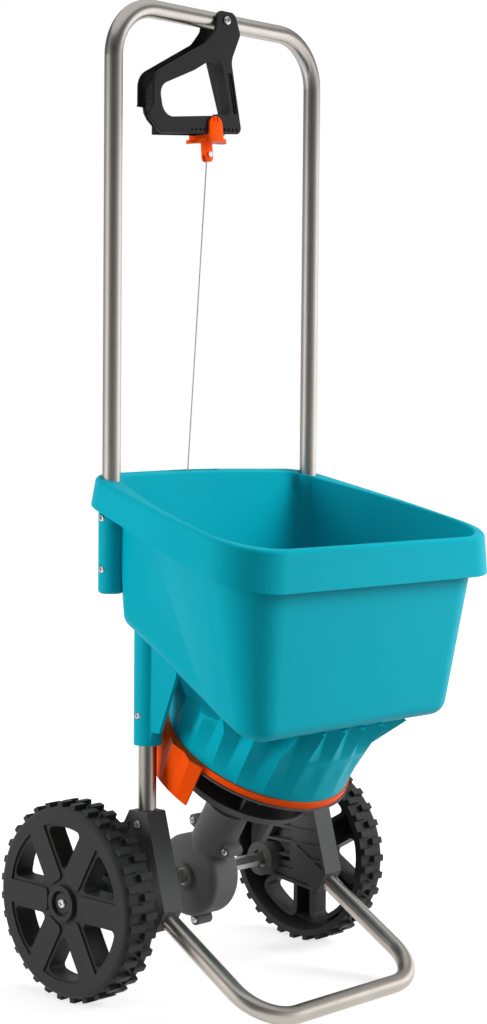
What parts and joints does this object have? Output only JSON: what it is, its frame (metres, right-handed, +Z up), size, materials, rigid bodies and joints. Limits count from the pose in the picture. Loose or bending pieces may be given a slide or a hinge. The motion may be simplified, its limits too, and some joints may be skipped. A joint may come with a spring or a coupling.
{
  "type": "garden spreader",
  "caption": "Walk-behind broadcast spreader: tilted plastic hopper on a tube frame, wheels drive a spinning disc, a lever on the grip bar opens the outlet.",
  "frame": {"origin": "on the ground, under the middle of the bounding box", "axes": "+Z up, -Y to the front of the hopper, +X to the right of someone who faces its front"},
  "size_m": [0.4294, 0.3898, 1.0995],
  "materials": {
    "stainless": "brushed",
    "teal_plastic": "fine matte grain",
    "orange_plastic": "satin",
    "black_plastic": "matte grain",
    "dark_plastic": "satin",
    "grey_plastic": "satin",
    "bearing_plastic": "smooth",
    "zinc_steel": "bright zinc"
  },
  "bodies": {
    "frame": {"handle_tube": "stainless", "left_leg_tube": "stainless", "right_leg_tube": "stainless", "stand_tube": "stainless", "left_axle_bracket": "dark_plastic", "right_axle_bracket": "dark_plastic", "left_axle_bush": "bearing_plastic", "right_axle_bush": "bearing_plastic", "hopper": "teal_plastic", "outlet_plate": "dark_plastic", "gearbox_left_half": "grey_plastic", "gearbox_right_half": "grey_plastic", "gearbox_bushes": "bearing_plastic", "spinner_bush": "bearing_plastic", "handle_screws": "zinc_steel", "leg_screws": "zinc_steel", "bracket_screws": "zinc_steel", "gearbox_screws": "zinc_steel", "lever_bolt": "zinc_steel", "lever_nut": "zinc_steel"},
    "axle": {"drive_axle": "zinc_steel", "left_wheel": "black_plastic", "wheel_washers": "zinc_steel", "wheel_screws": "zinc_steel", "drive_gear": "bearing_plastic"},
    "free_wheel": {"right_wheel": "black_plastic"},
    "spinner": {"spinner_shaft": "zinc_steel", "spinner_disc": "dark_plastic", "bevel_pinion": "bearing_plastic", "agitator": "dark_plastic"},
    "lever": {"squeeze_lever": "black_plastic"},
    "clip": {"dose_clip": "orange_plastic"},
    "wire": {"wire_barrel": "zinc_steel", "pull_wire": "zinc_steel"},
    "gate": {"metering_gate": "dark_plastic"},
    "gate_link": {"gate_wire": "zinc_steel"},
    "deflector": {"deflector_ring": "orange_plastic"}
  },
  "joints": [
    {"name": "axle_spin", "type": "hinge", "parent": "frame", "child": "axle", "pos_m": [0, 0.08473, 0.1102], "axis": [1, 0, 0], "continuous": true},
    {"name": "free_wheel_spin", "type": "hinge", "parent": "axle", "child": "free_wheel", "pos_m": [0, 0.08473, 0.1102], "axis": [1, 0, 0], "continuous": true},
    {"name": "spinner_spin", "type": "hinge", "parent": "frame", "child": "spinner", "pos_m": [0, 0.08473, 0.1102], "axis": [0, -0.5, 0.866], "continuous": true},
    {"name": "lever_squeeze", "type": "hinge", "parent": "frame", "child": "lever", "pos_m": [0, 0.06313, 1.089], "axis": [0, 1, 0], "range_deg": [0, 18], "stiffness_Nm_per_rad": 4, "springref_deg": -5.73},
    {"name": "clip_slide", "type": "slide", "parent": "lever", "child": "clip", "axis": [0.9963, 0, 0.0854], "range_m": [-0.03, 0.02]},
    {"name": "wire_swing", "type": "hinge", "parent": "clip", "child": "wire", "pos_m": [-0.01612, 0.06313, 0.93868], "axis": [0, 1, 0], "range_deg": [-26, 1]},
    {"name": "gate_slide", "type": "slide", "parent": "frame", "child": "gate", "axis": [0, 0.866, 0.5], "range_m": [-0.0005, 0.0425]},
    {"name": "gate_wire_swing", "type": "hinge", "parent": "gate", "child": "gate_link", "pos_m": [-0.01612, 0.10959, 0.33274], "axis": [1, 0, 0], "range_deg": [-1, 11]},
    {"name": "deflector_turn", "type": "hinge", "parent": "frame", "child": "deflector", "pos_m": [0, 0.08473, 0.1102], "axis": [0, -0.5, 0.866], "range_deg": [0, 90]}
  ],
  "couplings": [
    {"joint": "spinner_spin", "follows": "axle_spin", "ratio": 3},
    {"joint": "wire_swing", "follows": "lever_squeeze", "ratio": -1.3906},
    {"joint": "gate_slide", "follows": "lever_squeeze", "m_per_rad": 0.13369},
    {"joint": "gate_wire_swing", "follows": "lever_squeeze", "ratio": 0.5183}
  ]
}
